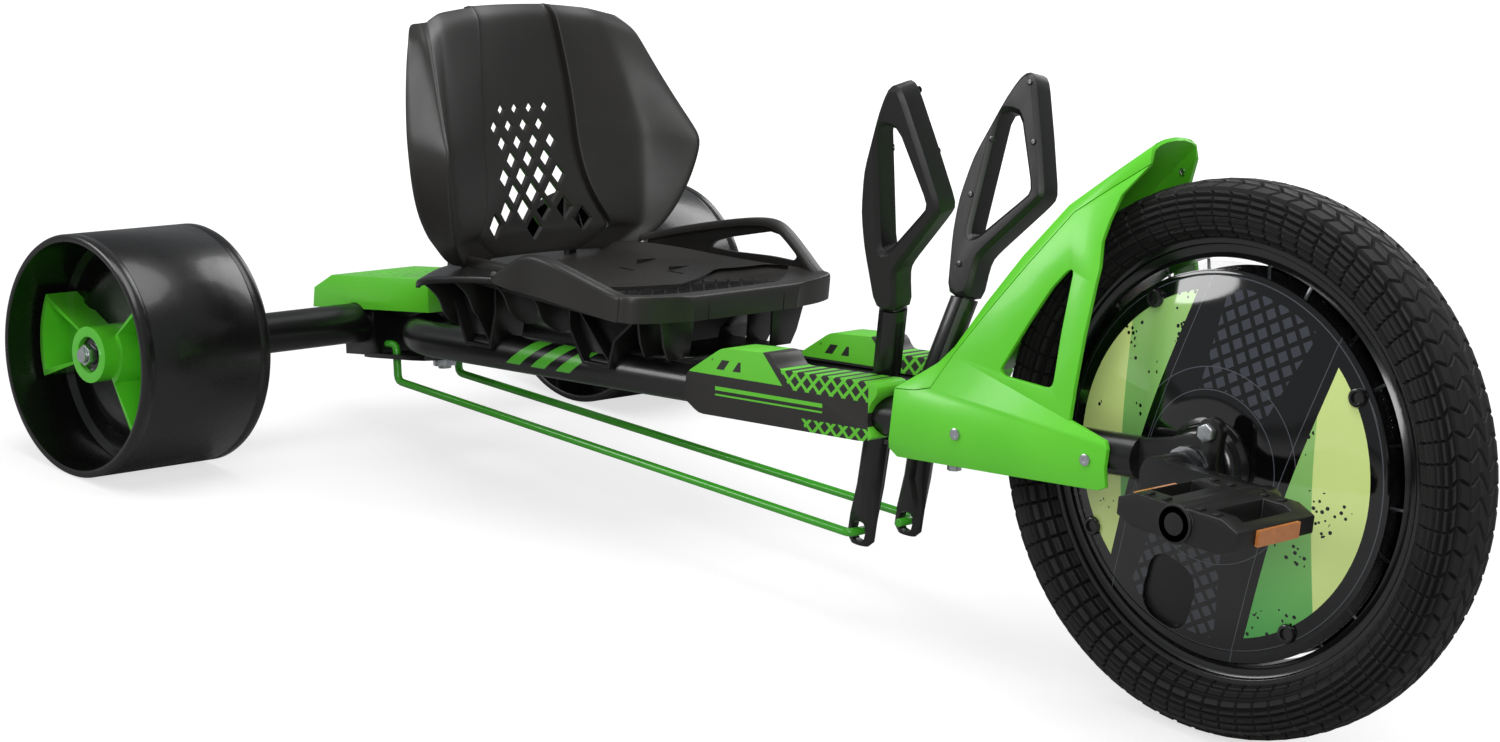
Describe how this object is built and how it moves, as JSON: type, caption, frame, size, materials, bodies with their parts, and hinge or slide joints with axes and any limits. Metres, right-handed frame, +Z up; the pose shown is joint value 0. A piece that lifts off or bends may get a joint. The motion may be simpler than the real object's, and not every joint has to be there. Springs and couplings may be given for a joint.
{
  "type": "drift trike",
  "caption": "Low pedal trike with a bucket seat, a pedalled front wheel, and two lever handles whose rods swivel a rear axle with smooth drum wheels.",
  "frame": {"origin": "on the ground under the middle of the bounding box", "axes": "+X forward, +Y to the rider's left, +Z up"},
  "size_m": [1.2396, 0.704, 0.4338],
  "materials": {
    "black_paint": "satin powder coat",
    "green_paint": "gloss paint",
    "green_gloss": "glossy moulded plastic",
    "black_gloss": "glossy moulded plastic",
    "black_moulded": "fine grained moulded plastic",
    "clear_cover": "clear tinted sheet",
    "amber": "ribbed reflector lens",
    "steel": "zinc plated",
    "tyre": "moulded tread"
  },
  "bodies": {
    "frame": {"main_frame": "black_paint", "kingpin_bush_upper": "black_gloss", "kingpin_bush_lower": "black_gloss", "axle_bearing_right": "steel", "axle_bearing_left": "steel", "clamp_bolt_right": "steel", "clamp_bolt_left": "steel", "lever_pivot_shaft": "steel", "lever_spacer": "black_gloss", "pivot_collar_right": "black_gloss", "pivot_collar_left": "black_gloss", "rail_cover_right": "black_moulded", "rail_cover_left": "black_moulded", "shroud_right": "green_gloss", "shroud_left": "green_gloss", "fender": "green_gloss", "front_bracket": "black_paint", "bracket_bolt": "steel", "seat_back": "black_moulded", "seat_base": "black_moulded"},
    "rear_truck": {"truck_frame": "black_paint", "kingpin_bolt": "steel", "kingpin_nut": "steel", "deck_cover": "green_gloss", "axle_tube": "black_paint", "axle_shaft": "steel", "axle_plug_right": "black_gloss", "axle_plug_left": "black_gloss", "axle_nut_right": "steel", "axle_nut_left": "steel"},
    "rear_wheel_right": {"rear_drum_right": "black_gloss", "wheel_insert_right": "green_gloss", "wheel_bush_right": "black_gloss"},
    "rear_wheel_left": {"rear_drum_left": "black_gloss", "wheel_insert_left": "green_gloss", "wheel_bush_left": "black_gloss"},
    "lever_right": {"lever_tube_right": "black_paint", "lever_grip_right": "black_moulded"},
    "lever_left": {"lever_tube_left": "black_paint", "lever_grip_left": "black_moulded"},
    "rod_right": {"steering_rod_right": "green_paint"},
    "rod_left": {"steering_rod_left": "green_paint"},
    "front_wheel": {"tyre": "tyre", "rim": "black_gloss", "wheel_hub": "black_paint", "cover_disc_right": "clear_cover", "cover_disc_left": "clear_cover", "hub_cap_right": "black_gloss", "hub_cap_left": "black_gloss", "crank_axle": "steel", "crank_arm_right": "black_paint", "crank_arm_left": "black_paint", "pedal_spindle_right": "steel", "pedal_spindle_left": "steel"},
    "pedal_right": {"pedal_body_right": "black_moulded", "pedal_reflector_front_right": "amber", "pedal_reflector_rear_right": "amber"},
    "pedal_left": {"pedal_body_left": "black_moulded", "pedal_reflector_front_left": "amber", "pedal_reflector_rear_left": "amber"}
  },
  "joints": [
    {"name": "rear_steer", "type": "hinge", "parent": "frame", "child": "rear_truck", "pos_m": [-0.45416, 0, 0.11403], "axis": [-0.1771, 0, 0.9842], "range_deg": [-20, 20]},
    {"name": "rear_spin_right", "type": "hinge", "parent": "rear_truck", "child": "rear_wheel_right", "pos_m": [-0.51715, -0.287, 0.1027], "axis": [0, 1, 0], "continuous": true},
    {"name": "rear_spin_left", "type": "hinge", "parent": "rear_truck", "child": "rear_wheel_left", "pos_m": [-0.51715, 0.287, 0.1027], "axis": [0, 1, 0], "continuous": true},
    {"name": "rod_swing_right", "type": "hinge", "parent": "rear_truck", "child": "rod_right", "pos_m": [-0.47126, -0.036, 0.07916], "axis": [-0.1771, 0, 0.9842], "range_deg": [-20, 20]},
    {"name": "rod_swing_left", "type": "hinge", "parent": "rear_truck", "child": "rod_left", "pos_m": [-0.47126, 0.036, 0.07916], "axis": [-0.1771, 0, 0.9842], "range_deg": [-20, 20]},
    {"name": "lever_swing_right", "type": "hinge", "parent": "frame", "child": "lever_right", "pos_m": [0.09985, -0.028, 0.17076], "axis": [0, 1, 0], "range_deg": [-7.5, 7.5]},
    {"name": "lever_swing_left", "type": "hinge", "parent": "frame", "child": "lever_left", "pos_m": [0.09985, 0.028, 0.17076], "axis": [0, 1, 0], "range_deg": [-7.5, 7.5]},
    {"name": "front_spin", "type": "hinge", "parent": "frame", "child": "front_wheel", "pos_m": [0.41685, 0, 0.203], "axis": [0, 1, 0], "continuous": true},
    {"name": "pedal_spin_right", "type": "hinge", "parent": "front_wheel", "child": "pedal_right", "pos_m": [0.5038, -0.148, 0.20604], "axis": [0, 1, 0], "continuous": true},
    {"name": "pedal_spin_left", "type": "hinge", "parent": "front_wheel", "child": "pedal_left", "pos_m": [0.3299, 0.148, 0.19996], "axis": [0, 1, 0], "continuous": true}
  ],
  "couplings": [
    {"joint": "lever_swing_right", "follows": "rear_steer", "ratio": -0.35},
    {"joint": "lever_swing_left", "follows": "rear_steer", "ratio": 0.35},
    {"joint": "rod_swing_right", "follows": "rear_steer", "ratio": -0.96},
    {"joint": "rod_swing_left", "follows": "rear_steer", "ratio": -0.96}
  ]
}
